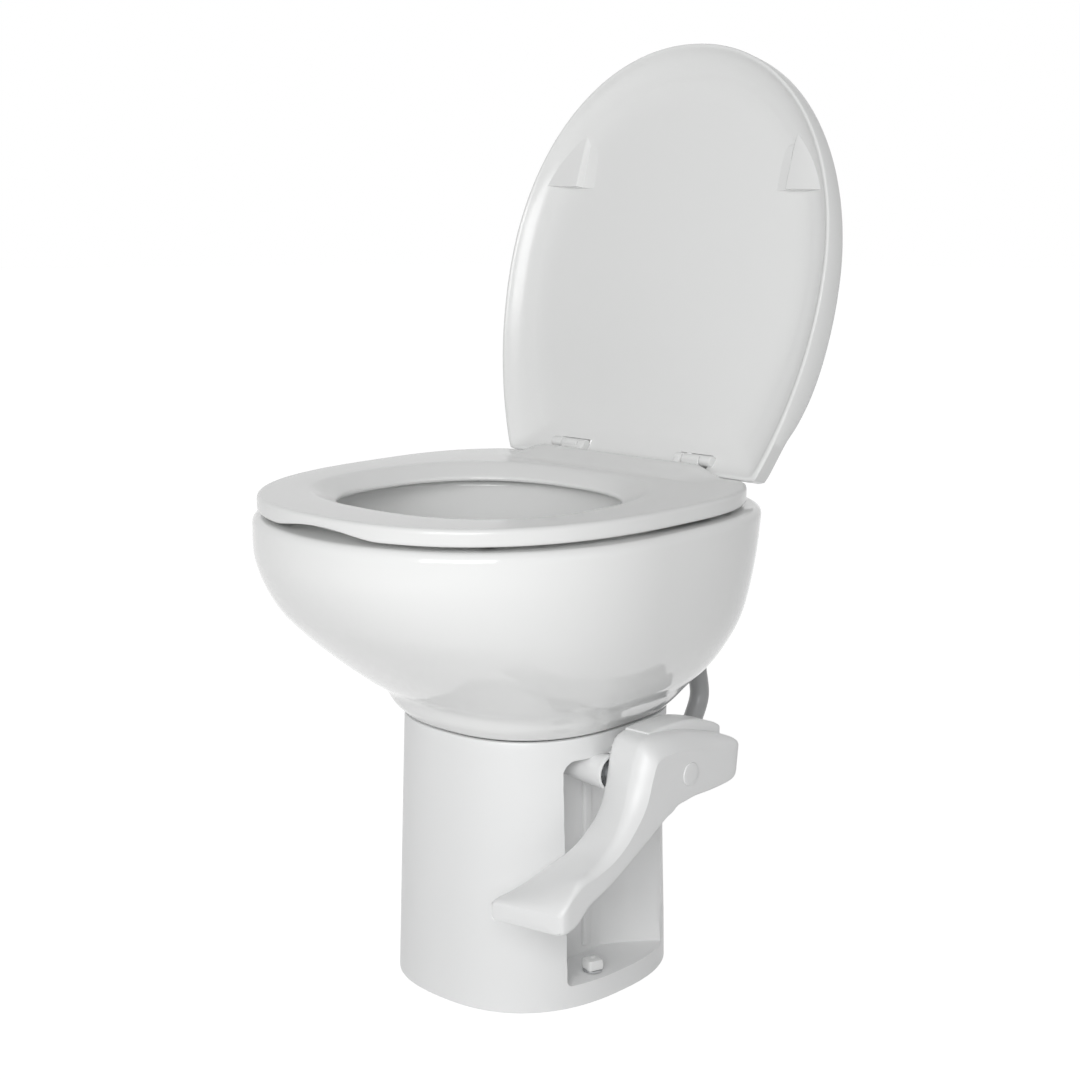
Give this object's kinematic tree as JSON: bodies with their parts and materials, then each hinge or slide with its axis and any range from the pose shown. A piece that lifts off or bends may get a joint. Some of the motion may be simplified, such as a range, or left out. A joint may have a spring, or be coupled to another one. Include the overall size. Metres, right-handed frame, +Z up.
{
  "type": "rv toilet",
  "caption": "White pedestal toilet for a caravan or motorhome: glazed bowl with seat and raised lid, side foot pedal that turns a ball valve, and a rear water valve with hose.",
  "frame": {"origin": "on the floor, under the middle of the whole object's box with the lid up", "axes": "+Z up, -Y towards the front of the bowl, +X towards the pedal side"},
  "size_m": [0.4024, 0.5006, 0.8449],
  "materials": {
    "glaze": "white glazed vitreous china",
    "gloss_white": "moulded glossy white plastic",
    "satin_white": "moulded satin white plastic",
    "black_rubber": "black rubber",
    "grey_plastic": "grey moulded plastic",
    "hose_plastic": "grey flexible hose",
    "steel": "stainless steel"
  },
  "bodies": {
    "base": {"bowl": "glaze", "hinge_post_left": "gloss_white", "hinge_post_right": "gloss_white", "bolt_cap_left": "gloss_white", "bolt_cap_right": "gloss_white", "pedestal": "satin_white", "spring_cartridge": "satin_white", "bowl_gasket": "black_rubber", "ball_seal": "black_rubber", "floor_seal": "black_rubber", "hinge_anchor_left": "black_rubber", "hinge_anchor_right": "black_rubber", "valve_housing": "grey_plastic", "bowl_clamp_front": "grey_plastic", "bowl_clamp_rear": "grey_plastic", "cartridge_lid": "grey_plastic", "water_valve": "grey_plastic", "water_inlet": "grey_plastic", "bowl_nozzle": "grey_plastic", "water_hose": "hose_plastic", "clamp_screw_1": "steel", "clamp_screw_2": "steel", "clamp_screw_3": "steel", "clamp_screw_4": "steel", "floor_bolt_left": "steel", "floor_bolt_right": "steel", "floor_washer_left": "steel", "floor_washer_right": "steel", "floor_nut_left": "steel", "floor_nut_right": "steel", "return_spring": "steel", "pivot_axle": "steel", "hinge_pin_left": "steel", "hinge_pin_right": "steel", "hinge_bolt_left": "steel", "hinge_bolt_right": "steel", "hose_clamp_lower": "steel", "hose_clamp_upper": "steel", "valve_screw_1": "steel", "valve_screw_2": "steel"},
    "seat": {"seat_ring": "gloss_white", "seat_bumper_front_left": "black_rubber", "seat_bumper_front_right": "black_rubber", "seat_bumper_rear_left": "black_rubber", "seat_bumper_rear_right": "black_rubber"},
    "lid": {"lid_panel": "gloss_white"},
    "pedal": {"pedal_lever": "satin_white", "pedal_cover": "satin_white", "sector_gear": "grey_plastic", "pivot_cap": "satin_white"},
    "flush": {"flush_ball": "grey_plastic", "ball_shaft": "grey_plastic", "ball_stub": "grey_plastic", "shaft_pinion": "grey_plastic"}
  },
  "joints": [
    {"name": "seat_hinge", "type": "hinge", "parent": "base", "child": "seat", "pos_m": [0, 0.14585, 0.467], "axis": [-1, 0, 0], "range_deg": [0, 98]},
    {"name": "lid_hinge", "type": "hinge", "parent": "base", "child": "lid", "pos_m": [0, 0.14585, 0.467], "axis": [-1, 0, 0], "range_deg": [-104.2, 0]},
    {"name": "pedal_pivot", "type": "hinge", "parent": "base", "child": "pedal", "pos_m": [0, 0.02584, 0.215], "axis": [1, 0, 0], "range_deg": [0, 30], "stiffness_Nm_per_rad": 3, "springref_deg": -28.65},
    {"name": "ball_turn", "type": "hinge", "parent": "base", "child": "flush", "pos_m": [0, -0.01816, 0.215], "axis": [1, 0, 0], "range_deg": [-90, 0]}
  ],
  "couplings": [
    {"joint": "ball_turn", "follows": "pedal_pivot", "ratio": -3}
  ]
}
